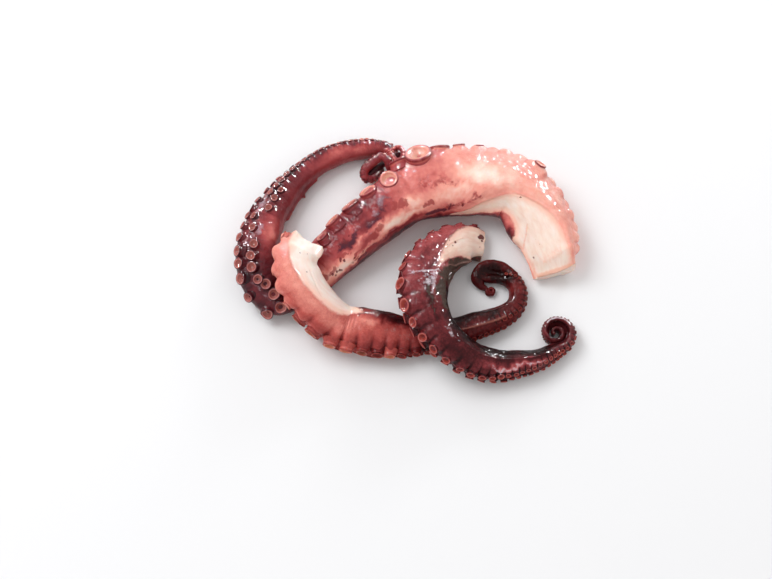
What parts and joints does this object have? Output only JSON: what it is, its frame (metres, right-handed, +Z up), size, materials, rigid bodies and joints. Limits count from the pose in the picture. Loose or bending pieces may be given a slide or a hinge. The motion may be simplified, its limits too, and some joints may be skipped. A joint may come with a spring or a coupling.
{
  "type": "cooked octopus",
  "caption": "Boiled octopus arms, cut slantwise at the thick end and curling at the tips, with rows of cup suckers, lying hooked over one another.",
  "frame": {"origin": "on the surface that the arms lie on, under the middle of the whole's box", "axes": "+Z up; +X along the longest way across, towards the cut end of the long arm; +Y away from the short arm's spiral tip, towards the outer bend of the long arm"},
  "size_m": [0.2218, 0.1646, 0.0401],
  "materials": {
    "skin_salmon": "wet boiled skin, salmon pink with cream and red-brown patches, cream flesh at the cut",
    "skin_rose": "wet boiled skin, rose pink, near-white flesh at the cut",
    "skin_maroon": "wet boiled skin, dark maroon, cream flesh at the cut"
  },
  "bodies": {
    "root": {"arm_long": "skin_salmon", "arm_middle": "skin_rose", "arm_short": "skin_maroon"}
  },
  "joints": []
}
